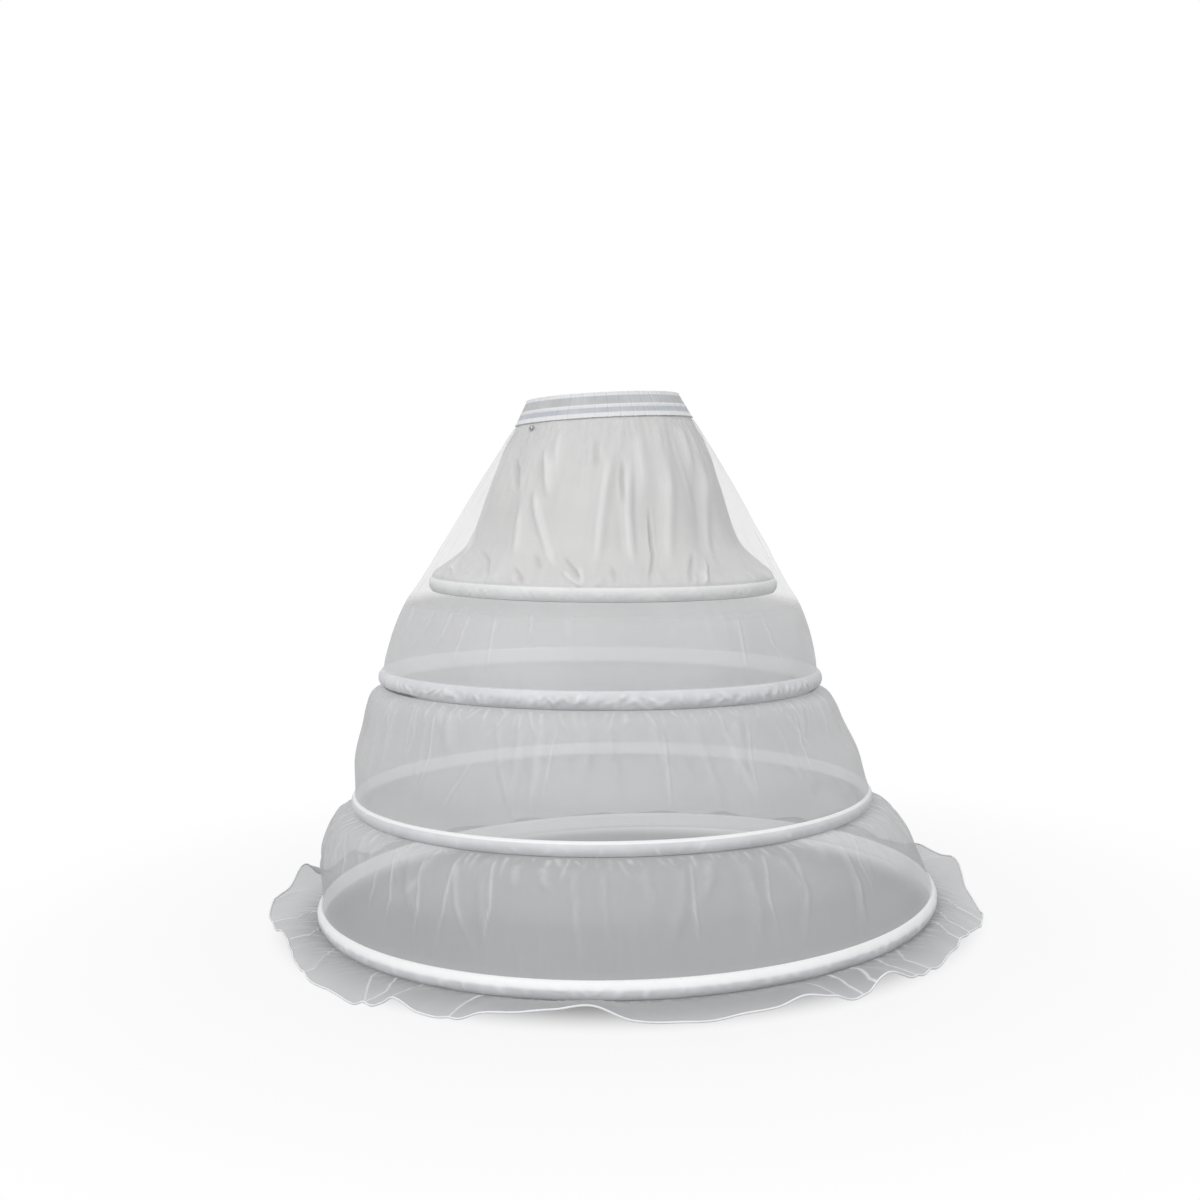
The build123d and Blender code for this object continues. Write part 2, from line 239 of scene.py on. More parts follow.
# Spacing of threads, ribs, cords and stitches, and the roughness that all noises share
SATIN_THREAD, NET_THREAD, TAPE_THREAD = 0.0005, 0.0009, 0.0006
BAND_RIB, BAND_ROW = 0.0024, 0.0009
ELASTIC_CORD, ELASTIC_CROSS = 0.0022, 0.0014
STITCH = 0.0032
NOISE_ROUGHNESS = 0.55

# Stage: middle of the floor's disc of painted shade, its dark greys, and each sun's strength, width and
# turn in degrees
FLOOR_PLACE = (0.022, 0.09, -0.8185)
FLOOR_SHADE_GREYS = (0.38, 0.38, 0.38), (0.43, 0.43, 0.43)
ROOM_LIGHT = 0.62
SUNS = (("key", 1.25, 24, (52, 0, -34)), ("fill", 0.45, 60, (62, 0, 48)))


def length(name, description, default):
    return FloatProperty(name=name, description=description, default=default, unit="LENGTH")


def colour(name, description, default):
    return FloatVectorProperty(
        name=name, description=description, default=default, subtype="COLOR", size=3, min=0, max=1)


class CrinolineSizes(bpy.types.PropertyGroup):
    """Sizes of the cage, measured outside the cloth."""
    waist_width: length("Waist width", "Across the waistband's top edge", 0.232)
    waist_depth: length("Waist depth", "Front to back at the waistband's top edge", 0.184)
    band_height: length("Band height", "Height of the waistband", 0.039)
    yoke_radius: length("Yoke hoop radius", "Cloth at the yoke's hoop", 0.2645)
    upper_radius: length("Upper hoop radius", "Cloth at the second hoop", 0.3345)
    middle_radius: length("Middle hoop radius", "Cloth at the third hoop", 0.3965)
    hem_radius: length("Hem hoop radius", "Cloth at the hem hoop", 0.4705)
    yoke_drop: length("Yoke hoop drop", "Yoke hoop below the waist", 0.286)
    upper_drop: length("Upper hoop drop", "Second hoop below the waist", 0.429)
    middle_drop: length("Middle hoop drop", "Third hoop below the waist", 0.612)
    hem_drop: length("Hem hoop drop", "Hem hoop below the waist", 0.768)
    tape_fullness: length("Tape fullness", "How far each casing stands off its seams", 0.0062)


class CrinolineColours(bpy.types.PropertyGroup):
    """Colours of the cage's cloth and metal."""
    satin: colour("Satin", "Gathered yoke", (0.755, 0.743, 0.733))
    net: colour("Net", "Sheer tiers where the cloth is single", (0.58, 0.58, 0.59))
    net_fold: colour("Net folds", "Sheer cloth where it gathers", (0.78, 0.785, 0.80))
    ruffle: colour("Ruffle", "Sheer cloth of the hem ruffle", (0.38, 0.38, 0.39))
    tape: colour("Tape", "Hoop casings and rolled hem", (0.70, 0.705, 0.725))
    band_white: colour("Band edges", "Raised edges of the waistband", (0.76, 0.765, 0.775))
    band_grey: colour("Band stripe", "Broad stripe of the waistband", (0.47, 0.475, 0.48))
    band_blue: colour("Lower band stripe", "Narrow stripe of the waistband", (0.47, 0.49, 0.54))
    elastic: colour("Elastic", "Elastic behind the waistband", (0.66, 0.66, 0.665))
    steel: colour("Steel", "Spring steel of the hoops", (0.46, 0.47, 0.49))


# Shaders

class Value:
    """An output socket that can be used in sums; numbers and other outputs may stand beside it."""

    def __init__(self, finish, socket):
        self.finish, self.socket = finish, socket

    def math(self, operation, *others, before=False):
        values = (*others, self) if before else (self, *others)
        return self.finish.node("ShaderNodeMath", {"operation": operation}, dict(enumerate(values)))

    def __add__(self, other):
        return self.math("ADD", other)

    __radd__ = __add__

    def __sub__(self, other):
        return self.math("SUBTRACT", other)

    def __rsub__(self, other):
        return self.math("SUBTRACT", other, before=True)

    def __mul__(self, other):
        return self.math("MULTIPLY", other)

    __rmul__ = __mul__

    def __truediv__(self, other):
        return self.math("DIVIDE", other)

    def __neg__(self):
        return self * -1

    def sine(self):
        return self.math("SINE")

    def wave(self):
        """A sine from 0 to 1."""
        return self.sine() * 0.5 + 0.5

    def absolute(self):
        return self.math("ABSOLUTE")

    def at_least(self, other):
        return self.math("MAXIMUM", other)

    def at_most(self, other):
        return self.math("MINIMUM", other)

    def between(self, low, high):
        """0 below low, 1 above high, and smooth from one to the other."""
        settings = {"interpolation_type": "SMOOTHSTEP"}
        sockets = {"Value": self, "From Min": low, "From Max": high}
        return self.finish.node("ShaderNodeMapRange", settings, sockets)

    def beside(self, output):
        """Another output of the same node."""
        return Value(self.finish, self.socket.node.outputs[output])


class Finish:
    """A material or world under construction."""

    def __init__(self, owner):
        owner.use_nodes = True
        self.owner, self.tree = owner, owner.node_tree
        self.tree.nodes.clear()

    def node(self, kind, settings=None, sockets=None, output=0):
        made = self.tree.nodes.new(kind)
        for name, value in (settings or {}).items():
            if name == "stops":
                ramp = made.color_ramp
                while len(ramp.elements) < len(value):
                    ramp.elements.new(1.0)
                for element, (place, shade) in zip(ramp.elements, value):
                    element.position, element.color = place, (*shade, 1.0)
            else:
                setattr(made, name, value)
        for name, value in (sockets or {}).items():
            if isinstance(value, Value):
                self.tree.links.new(value.socket, made.inputs[name])
            else:
                made.inputs[name].default_value = value
        return Value(self, made.outputs[output]) if made.outputs else None

    def uv(self):
        """Metres around the cloth and down it, as two outputs."""
        plane = self.node("ShaderNodeUVMap", {"uv_map": "cloth"})
        parts = self.node("ShaderNodeSeparateXYZ", sockets={0: plane})
        return parts, parts.beside(1)

    def place(self):
        return self.node("ShaderNodeTexCoord", output="Object")

    def noise(self, scale, detail=3.0, stretch=None):
        place = self.place()
        if stretch:
            place = self.node("ShaderNodeMapping", sockets={"Vector": place, "Scale": stretch})
        sockets = {"Vector": place, "Scale": scale, "Detail": detail, "Roughness": NOISE_ROUGHNESS}
        return self.node("ShaderNodeTexNoise", sockets=sockets)

    def mix(self, share, low, high):
        low = (*low, 1.0) if isinstance(low, tuple) else low
        high = (*high, 1.0) if isinstance(high, tuple) else high
        return self.node("ShaderNodeMix", {"data_type": "RGBA"}, {0: share, 6: low, 7: high}, output=2)

    def weave(self, thread):
        """Over and under of a plain weave with this thread spacing in metres, from 0 to 1."""
        across, down = self.uv()
        turn = TAU / (2 * thread)
        return (across * turn).sine() * (down * turn).sine() * 0.5 + 0.5

    def bump(self, height, distance, strength):
        sockets = {"Height": height, "Distance": distance, "Strength": strength}
        return self.node("ShaderNodeBump", sockets=sockets)

    def attribute(self, name):
        return self.node("ShaderNodeAttribute", {"attribute_name": name}, output="Fac")

    def shade(self, **sockets):
        """Finish with one principled shader."""
        named = {}
        for name, value in sockets.items():
            named[name.replace("_", " ").title().replace("Ior", "IOR")] = value
        shader = self.node("ShaderNodeBsdfPrincipled", sockets=named)
        self.node("ShaderNodeOutputMaterial", sockets={"Surface": shader})
        return self.owner


def material(name):
    return Finish(bpy.data.materials.new(name))


def toned(values, factor=1.0):
    """A colour as it is, or made lighter or darker."""
    return tuple(min(channel * factor, 1.0) for channel in values)


def satin_finish(colours):
    finish = material("gathered satin")
    cloud = finish.noise(9.0)
    streaks = finish.noise(60.0, stretch=(1.0, 1.0, 0.12))
    fold = finish.attribute("fold")
    warm = toned(colours.satin)
    shade = finish.mix(cloud.between(0.3, 0.75), toned(warm, 0.93), warm)
    # Painted shade in the folds' valleys and painted highlight on their ridges
    shade = finish.mix(fold.between(0.0, 0.5), toned(warm, 0.78), shade)
    shade = finish.mix(fold.between(0.55, 1.0), shade, toned(warm, 1.10))
    height = finish.weave(SATIN_THREAD) * 0.25 + streaks * 0.75
    return finish.shade(
        base_color=shade, roughness=cloud * 0.16 + 0.34, normal=finish.bump(height, 0.0006, 0.5),
        sheen_weight=0.25, sheen_roughness=0.4, specular_ior_level=0.45,
    )


def net_finish(name, single, folded, alpha, thin=None):
    """Sheer net, whiter and closer where the cloth gathers.

    Thin is the alpha of the top of the cloth, and where it starts and stops growing to the usual one.
    """
    finish = material(name)
    if thin:
        least, start, stop = thin
        alpha = finish.uv()[1].between(start, stop) * (alpha - least) + least
    fold = finish.attribute("fold")
    cloud = finish.noise(5.0)
    streaks = finish.noise(90.0, stretch=(1.0, 1.0, 0.06))
    mesh = finish.weave(NET_THREAD)
    closeness = (fold * 0.9 + (streaks - 0.5) * 0.35 + (cloud - 0.5) * 0.3).between(0.0, 1.0)
    shade = finish.mix(closeness, single, folded)
    veil = closeness * 0.30 + (cloud - 0.5) * 0.10 + (mesh - 0.5) * 0.06 + alpha
    return finish.shade(
        base_color=shade, alpha=veil.at_most(0.97), roughness=0.62 - closeness * 0.1,
        normal=finish.bump(mesh * 0.5 + streaks * 0.5, 0.0004, 0.35), sheen_weight=0.3, sheen_roughness=0.5,
    )


def tape_finish(name, tint, stitch_rows, piping=None):
    """Satin tape with rows of stitches at these distances from its top edge in metres.

    A painted glow on the layer that the attribute "inner" marks stands in for light through the thin cloth.
    """
    finish = material(name)
    inner = finish.attribute("inner")
    around, down = finish.uv()
    cloud = finish.noise(24.0)
    wrinkle = finish.noise(140.0, stretch=(1.0, 1.0, 0.35))
    stitches = None
    for row in stitch_rows:
        line = 1 - (down - row).absolute().between(0.0003, 0.0008)
        dashes = line * (around * (TAU / STITCH)).sine().between(-0.2, 0.4)
        stitches = dashes if stitches is None else stitches.at_least(dashes)
    fold = finish.attribute("fold")
    shade = finish.mix(cloud.between(0.25, 0.8), toned(tint, 0.88), tint)
    # Painted highlight on the ridges of the wrinkles
    shade = finish.mix(fold.between(0.1, 1.0) * 0.55, shade, (0.90, 0.905, 0.92))
    shade = finish.mix(stitches * 0.6, shade, (0.93, 0.935, 0.95))
    if piping:
        bright, lower = piping
        # A bright line along the top
        shade = finish.mix((1 - down.between(bright * 0.8, bright * 1.2)) * 0.9, shade, (0.95, 0.95, 0.95))
        # Painted shade: the outer face darkens towards its lower edge
        shade = finish.mix(down.between(lower * 0.9, lower) * (1 - inner) * 0.30, shade, (0.35, 0.35, 0.36))
    # Painted shadow: nearly black where the fold attribute is below 0
    shade = finish.mix((-fold).between(0.1, 0.9) * 0.85, shade, (0.06, 0.06, 0.065))
    height = finish.weave(TAPE_THREAD) * 0.2 + wrinkle * 0.5 + stitches * 0.6
    return finish.shade(
        base_color=shade, roughness=cloud * 0.15 + 0.40, normal=finish.bump(height, 0.0008, 0.6),
        sheen_weight=0.2, sheen_roughness=0.4,
        emission_color=finish.mix(inner, (0.0, 0.0, 0.0), (0.42, 0.42, 0.43)), emission_strength=1.0,
    )


def band_finish(colours, band_height):
    """Striped band: two flat stripes between white edges, ribbed by the elastic behind it."""
    finish = material("striped band")
    around, down = finish.uv()
    white, grey, blue = toned(colours.band_white), toned(colours.band_grey), toned(colours.band_blue)
    zones = [(0.0, white), (0.0055, white), (0.0065, grey), (0.0182, grey), (0.0190, white),
             (0.0234, white), (0.0242, blue), (0.0308, blue), (0.0318, white), (band_height, white)]
    stops = [(place / band_height, shade) for place, shade in zones]
    stripes = finish.node("ShaderNodeValToRGB", {"stops": stops}, {0: down / band_height})
    cloud = finish.noise(30.0)
    ribs = (around * (TAU / BAND_RIB) + cloud * 5.0).wave()
    rows = (down * (TAU / BAND_ROW)).wave()
    shade = finish.mix(cloud.between(0.3, 0.8) * 0.35, stripes, (0.70, 0.70, 0.71))
    return finish.shade(
        base_color=shade, roughness=cloud * 0.2 + 0.42,
        normal=finish.bump(ribs * 0.7 + rows * 0.3, 0.0004, 0.5), sheen_weight=0.15, sheen_roughness=0.5,
    )


def elastic_finish(colours):
    finish = material("woven elastic")
    around, down = finish.uv()
    tint = toned(colours.elastic)
    cords = (down * (TAU / ELASTIC_CORD)).wave()
    cross = (around * (TAU / ELASTIC_CROSS)).wave()
    cloud = finish.noise(40.0)
    shade = finish.mix(cords * 0.5 + cloud * 0.4, toned(tint, 0.82), tint)
    return finish.shade(
        base_color=shade, roughness=cloud * 0.1 + 0.7,
        normal=finish.bump(cords * 0.7 + cross * 0.3, 0.0006, 0.7),
    )


def metal_finish(name, tint, roughness, stretch):
    """Rolled or polished metal, with fine marks drawn out along one way and a little dulling."""
    finish = material(name)
    marks = finish.noise(220.0, detail=4.0, stretch=stretch)
    cloud = finish.noise(12.0)
    shade = finish.mix(cloud.between(0.3, 0.8), toned(tint, 0.8), tint)
    return finish.shade(
        base_color=shade, metallic=1.0, roughness=marks * 0.18 + cloud * 0.08 + roughness,
        normal=finish.bump(marks, 0.0002, 0.3),
    )


# Cloth

def turned_normal(lean, nod):
    lean, nod = np.radians(lean), np.radians(nod)
    return np.array([np.sin(lean), -np.sin(nod) * np.cos(lean), np.cos(nod) * np.cos(lean)])


def level_axes(normal):
    """Directions to the right and to the back along a level, from its normal or from rows of them."""
    right = np.cross(BACK, normal)
    right = right / np.linalg.norm(right, axis=-1, keepdims=True)
    return right, np.cross(normal, right)


def start_angles(columns):
    """The angle of each column of cloth, from the middle of the back."""
    return np.arange(columns) / columns * TAU + np.pi / 2


def wrapped(angle):
    """The same angle between half a turn back and half a turn on."""
    return (angle + np.pi) % TAU - np.pi


def bell(offset):
    return np.exp(-offset ** 2)


class Seat:
    """A level that cloth passes through: its centre, its upright direction and its half axes."""

    def __init__(self, centre, normal, half_width, half_depth):
        self.centre, self.normal = np.array(centre, float), np.array(normal, float)
        self.half_width, self.half_depth = half_width, half_depth

    def lowered(self, fall, grow=0.0):
        centre = self.centre - self.normal * fall
        return Seat(centre, self.normal, self.half_width + grow, self.half_depth + grow)


class Hoop(Seat):
    """A hoop's seat on the cloth, with the height of its casing."""

    def __init__(self, radius, drop, shift, lean, nod, casing):
        super().__init__((shift, 0, -drop), turned_normal(lean, nod), radius, radius)
        self.casing = casing

    def top(self):
        return self.lowered(-self.casing / 2)

    def bottom(self):
        return self.lowered(self.casing / 2)


def hoops(sizes):
    made = {}
    for name, seat in HOOP_SEATS.items():
        made[name] = Hoop(getattr(sizes, f"{name}_radius"), getattr(sizes, f"{name}_drop"), *seat)
    return made


def band_seat(sizes, drop, inset):
    """The waistband's outside at a drop below its top edge, less an inset."""
    spread = BAND_SPREAD * drop / sizes.band_height
    normal = turned_normal(WAIST_LEAN, 0)
    grow = spread - inset
    return Seat(-normal * drop, normal, sizes.waist_width / 2 + grow, sizes.waist_depth / 2 + grow)


def hermite(share, first, last, start, end):
    """Between first and last, leaving with the slope start and coming in with the slope end."""
    square, cube = share ** 2, share ** 3
    return (first * (2 * cube - 3 * square + 1) + start * (cube - 2 * square + share)
            + last * (3 * square - 2 * cube) + end * (cube - square))


def smooth_curve(places, values, at):
    """Values between places on a curve that never overshoots them."""
    step = np.diff(places)[:, None]
    slope = np.diff(values, axis=0) / step
    product = slope[:-1] * slope[1:]
    total = slope[:-1] + slope[1:]
    inner = np.where(product > 0, 2 * product / np.where(total == 0, 1, total), 0)
    tangent = np.vstack([slope[:1], inner, slope[-1:]])
    index = np.clip(np.searchsorted(places, at, side="right") - 1, 0, len(places) - 2)
    width = step[index]
    share = ((at - places[index]) / width[:, 0])[:, None]
    start, end = tangent[index] * width, tangent[index + 1] * width
    return hermite(share, values[index], values[index + 1], start, end)


def gather_wave(angles):
    """The cage's soft gathers, 1 on a full ridge and -1 in a full valley."""
    return np.cos(12 * angles + 0.9 * np.sin(2 * angles)) * (0.75 + 0.25 * np.cos(3 * angles + 1))


class Wall:
    """A wall of cloth through its levels, measured in metres of cloth down from its top."""

    def __init__(self, levels):
        self.levels = np.array([[*s.centre, *s.normal, s.half_width, s.half_depth, g] for s, g in levels])
        falls = np.hypot(np.diff(self.levels[:, 2]), np.diff(self.levels[:, 6]))
        self.runs = np.r_[0, np.cumsum(falls)]
        self.length = self.runs[-1]

    def at(self, down):
        return smooth_curve(self.runs, self.levels, np.asarray(down, float))

    def radius(self, down):
        return self.at(down)[:, 6:8].mean(1)

    def place(self, angles, down, push=0.0):
        """Points at every row and column, pushed outwards by an amount for each."""
        rows = self.at(down)
        right, back = level_axes(rows[:, 3:6] / np.linalg.norm(rows[:, 3:6], axis=1)[:, None])
        reach = rows[:, 8:9] * gather_wave(angles)[None] + push
        wide, deep = rows[:, 6:7] + reach, rows[:, 7:8] + reach
        points = rows[:, None, 0:3] + (wide * np.cos(angles))[:, :, None] * right[:, None]
        return points + (deep * np.sin(angles))[:, :, None] * back[:, None]

    def spot(self, x, y):
        """Angle and cloth length of the place that the picture shows at pixel x, y on the near side."""
        steps = np.linspace(SIGHT_NEAR, SIGHT_FAR, SIGHT_STEPS)[:, None]
        track = np.array(EYE)[None] + steps * sight(x, y)[None]
        down = np.linspace(0, self.length, 400)
        rows = self.at(down)
        place = np.interp(-track[:, 2], -rows[:, 2], down)
        near = self.at(place)
        across = (track[:, 0] - near[:, 0]) / near[:, 6]
        along = (track[:, 1] - near[:, 1]) / near[:, 7]
        reach = across ** 2 + along ** 2
        index = int(np.argmax(reach <= 1.0)) if reach.min() <= 1.0 else int(np.argmin(reach))
        return float(np.arctan2(along[index], across[index]) % TAU), float(place[index])


def wall_levels(start, end, profile):
    """Levels of a wall of cloth from one seat to the next. An oval soon rounds out into a circle."""
    levels = []
    for share, stand_off, gather in profile:
        left = 1 - share
        normal = start.normal * left + end.normal * share
        half_width = start.half_width * left + end.half_width * share + stand_off
        half_depth = half_width - (start.half_width - start.half_depth) * left ** 3
        centre = start.centre * left + end.centre * share
        levels.append((Seat(centre, normal / np.linalg.norm(normal), half_width, half_depth), gather))
    return levels


def camera_turn():
    pitch = Matrix.Rotation(np.radians(90 - PITCH), 3, "X")
    return pitch @ Matrix.Rotation(np.radians(ROLL), 3, "Z")


def sight(x, y):
    """Line of sight through pixel x, y of the picture, one metre deep."""
    across, up = (x - PICTURE / 2 - ASIDE) / FOCAL, (PICTURE / 2 - y) / FOCAL
    return np.array(camera_turn() @ Vector((across, up, -1.0)))


class Folds:
    """How far a wall's cloth is pushed out at each row and column, and how closely it gathers there."""

    # On the satin and the tapes, closeness also sets painted highlight, and painted shade below 0
    def __init__(self, wall, rows):
        self.wall = wall
        self.angles = start_angles(COLUMNS)
        self.down = np.linspace(0.0, wall.length, rows)
        self.radius = wall.radius(self.down)[:, None]
        self.push = np.zeros((rows, COLUMNS))
        self.close = np.zeros((rows, COLUMNS))

    def crease(self, path, width, depth, close, ends):
        """One fold along a path of (angle, cloth length) points, soft over these shares at its ends."""
        track = np.array(sorted(path, key=lambda point: point[1]))
        centre = np.interp(self.down, track[:, 1], np.unwrap(track[:, 0]))[:, None]
        span = max(track[-1, 1] - track[0, 1], TINY)
        share = (self.down - track[0, 1]) / span
        rise = np.clip(share / max(ends[0], TINY), 0, 1) if ends[0] else (share >= -1e-9) * 1.0
        fall = np.clip((1 - share) / max(ends[1], TINY), 0, 1)
        lesser = np.minimum(rise, fall)
        envelope = (lesser ** 2 * (3 - 2 * lesser))[:, None]
        offset = wrapped(self.angles[None] - centre) * self.radius / width
        ridge = bell(offset)
        valley = bell(offset - VALLEY_PLACE) + bell(offset + VALLEY_PLACE)
        self.push += envelope * depth * (ridge - VALLEY_DEPTH * valley)
        mark = envelope * ridge * close
        self.close = np.where(np.abs(mark) > np.abs(self.close), mark, self.close)

    def pictured(self, points, width, depth, close, ends):
        """One fold that the picture shows along points in pixels."""
        self.crease([self.wall.spot(x, y) for x, y in points], width, depth, close, ends)

    def gathers(self, chance, count, width, depth, start, reach, sway, close, ends=(0.0, 0.7)):
        """Many small folds from one level of the cloth, each of its own width, depth and reach."""
        for step in range(count):
            angle = TAU * (step + chance.uniform(-0.35, 0.35)) / count
            size = chance.uniform(0.6, 1.4)
            long = reach * chance.uniform(0.35, 1.0) ** 1.3
            drift = chance.normal(0, sway)
            begin = start + chance.uniform(0, 0.1) * reach
            bend, end = (angle + drift * 0.35, begin + long * 0.5), (angle + drift, begin + long)
            deep, closer = depth * size * chance.uniform(0.5, 1.0), close * chance.uniform(0.3, 1.0)
            self.crease([(angle, begin), bend, end], width * size, deep, closer, ends)


def deselect():
    for thing in bpy.data.objects:
        thing.select_set(False)


def cloth_piece(name, points, lengths, section_closed=False, **attributes):
    """Mesh of rows and columns around the body, with a map in metres and its attributes by vertex."""
    rows, columns = points.shape[:2]
    index = np.arange(rows * columns).reshape(rows, columns)
    right = np.roll(index, -1, axis=1)
    if section_closed:
        lower, lower_right = np.roll(index, -1, axis=0), np.roll(right, -1, axis=0)
    else:
        index, right, lower, lower_right = index[:-1], right[:-1], index[1:], right[1:]
    quads = np.stack([index, lower, lower_right, right], axis=2).reshape(-1, 4)
    mesh = bpy.data.meshes.new(name)
    mesh.from_pydata(points.reshape(-1, 3).tolist(), [], quads.tolist())
    width, down = lengths
    around = np.arange(columns + 1) / columns * width
    down = np.asarray(down, float)
    if section_closed:
        down = np.r_[down, down[-1] + (down[-1] - down[-2])]
    shape = (len(down) - 1, columns)
    near, far = (np.broadcast_to(side, shape) for side in (around[:-1], around[1:]))
    top, bottom = (np.broadcast_to(side[:, None], shape) for side in (down[:-1], down[1:]))
    uv = np.stack([near, top, near, bottom, far, bottom, far, top], axis=2)
    layer = mesh.uv_layers.new(name="cloth")
    layer.data.foreach_set("uv", uv.reshape(-1).astype(np.float32))
    for key, values in attributes.items():
        held = mesh.attributes.new(key, "FLOAT", "POINT")
        held.data.foreach_set("value", np.ascontiguousarray(values, dtype=np.float32).reshape(-1))
    mesh.polygons.foreach_set("use_smooth", np.ones(len(mesh.polygons), bool))
    mesh.update()
    piece = bpy.data.objects.new(name, mesh)
    bpy.context.scene.collection.objects.link(piece)
    return piece


def apply_modifier(piece, kind, **settings):
    deselect()
    bpy.context.view_layer.objects.active = piece
    piece.select_set(True)
    modifier = piece.modifiers.new(kind.title(), kind)
    for name, value in settings.items():
        setattr(modifier, name, value)
    bpy.ops.object.modifier_apply(modifier=modifier.name)
    piece.select_set(False)


def dress(piece, finish, slot, *nodes):
    """Give a piece its finish, put it on the cage and let it stand for the frame's own solids."""
    piece.data.materials.clear()
    piece.data.materials.append(finish)
    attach(piece, BODY)
    if nodes:
        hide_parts(*nodes)
    return piece


def oval_length(seat):
    return TAU * float(np.sqrt((seat.half_width ** 2 + seat.half_depth ** 2) / 2))


def yoke_wall(sizes):
    cage = hoops(sizes)
    start = band_seat(sizes, sizes.band_height, CLOTH_WALL + LAYER_GAP).lowered(SEAM_GAP)
    levels = wall_levels(start, cage["yoke"].top(), YOKE_LEVELS)
    return Wall(levels + [(cage["yoke"].bottom(), 0)])


def upper_wall(sizes):
    cage = hoops(sizes)
    start = band_seat(sizes, sizes.band_height, 0).lowered(SEAM_GAP)
    hoop = cage["yoke"]
    reach = hoop.half_width + OVER_YOKE_GAP
    over = Seat(hoop.centre, hoop.normal, reach, reach)
    levels = wall_levels(start, over, OVER_YOKE_LEVELS)
    levels += wall_levels(over, cage["upper"].top(), UPPER_LEVELS)
    return Wall(levels + [(cage["upper"].bottom(), 0)])


def tier_wall(above, below, profile):
    start = above.bottom().lowered(SEAM_GAP)
    return Wall(wall_levels(start, below.top(), profile) + [(below.bottom(), 0)])


def waist_gathers(folds):
    """Fine gathers sewn into the waistband, the same in the two layers that it holds."""
    chance = np.random.default_rng(11)
    folds.gathers(chance, count=96, width=0.0036, depth=0.0010, start=0.0, reach=0.080, sway=0.02,
                  close=0.5)


def ring(seat, angles, push=0.0):
    """Points around one seat."""
    return Wall([(seat, 0), (seat.lowered(0.001), 0)]).place(angles, [0.0], push)[0]


def band_edge(turns, level, rounding, place):
    """Rows of the band's section that turn over one edge."""
    rows = []
    for side in np.radians(turns):
        rows.append((level + rounding * np.sin(side), EDGE_CENTRE - EDGE_REACH * np.cos(side), place, 0.3))
    return rows


def band_section(height):
    """The folded band's outline: drop, inset, place down the cloth and share of the ruching."""
    section = []
    for drop in np.linspace(BAND_FOLD, height - BAND_FOLD, 34):
        ridge = sum(np.clip(1 - abs(drop - at) / reach, 0, 1) ** 1.5 for at, reach in RIDGES)
        section.append((drop, -RIDGE_HEIGHT * min(ridge, 1.0), drop, 1.0))
    section += band_edge(np.linspace(20, 160, 5), height - BAND_FOLD, EDGE_ROUND, height)
    section += [(drop, BAND_WALL, height, 0.0) for drop in np.linspace(height - 0.0008, 0.0008, 8)]
    return section + band_edge(np.linspace(160, 20, 5), BAND_FOLD, -EDGE_ROUND, 0.0)


def elastic_section(height):
    """The elastic's outline behind the middle of the band: drop and inset."""
    top, front = (height - ELASTIC_HEIGHT) / 2, BAND_WALL + SEAM_GAP
    bottom, back, middle = top + ELASTIC_HEIGHT, front + ELASTIC_WALL, front + ELASTIC_WALL / 2
    return [(top + ELASTIC_ROUND, front), (top + ELASTIC_HEIGHT * 0.33, front),
            (top + ELASTIC_HEIGHT * 0.66, front), (bottom - ELASTIC_ROUND, front), (bottom, middle),
            (bottom - ELASTIC_ROUND, back), (top + ELASTIC_HEIGHT * 0.5, back), (top + ELASTIC_ROUND, back),
            (top, middle)]


class CRINOLINE_OT_waistband(bpy.types.Operator):
    """Make the striped waistband with its three ridges, and the elastic behind it"""
    bl_idname = "crinoline.waistband"
    bl_label = "Waistband"

    def execute(self, context):
        sizes, colours = context.scene.crinoline_sizes, context.scene.crinoline_colours
        height = sizes.band_height
        around = oval_length(band_seat(sizes, height / 2, 0))
        chance = np.random.default_rng(3)
        angles = start_angles(COLUMNS)
        ruching = np.zeros(COLUMNS)
        for waves, depth in RUCHING:
            ruching += depth * np.cos(waves * angles + chance.uniform(0, TAU))
        section = band_section(height)
        rows = []
        for drop, inset, _, ruched in section:
            rows.append(ring(band_seat(sizes, drop, inset), angles, ruching[None] * ruched))
        drops = [place for _, _, place, _ in section]
        band = cloth_piece("waistband_cloth", np.array(rows), (around, drops), section_closed=True)
        dress(band, band_finish(colours, height), "band_satin", "waistband")

        outline = elastic_section(height)
        angles = start_angles(ELASTIC_COLUMNS)
        rows = [ring(band_seat(sizes, drop, inset), angles) for drop, inset in outline]
        steps = [float(np.hypot(b[0] - a[0], b[1] - a[1])) for a, b in zip(outline, outline[1:])]
        drops = np.cumsum([0.0] + steps)
        elastic = cloth_piece("waist_elastic_cloth", np.array(rows), (around, drops), section_closed=True)
        dress(elastic, elastic_finish(colours), "elastic", "waist_elastic")
        return {"FINISHED"}


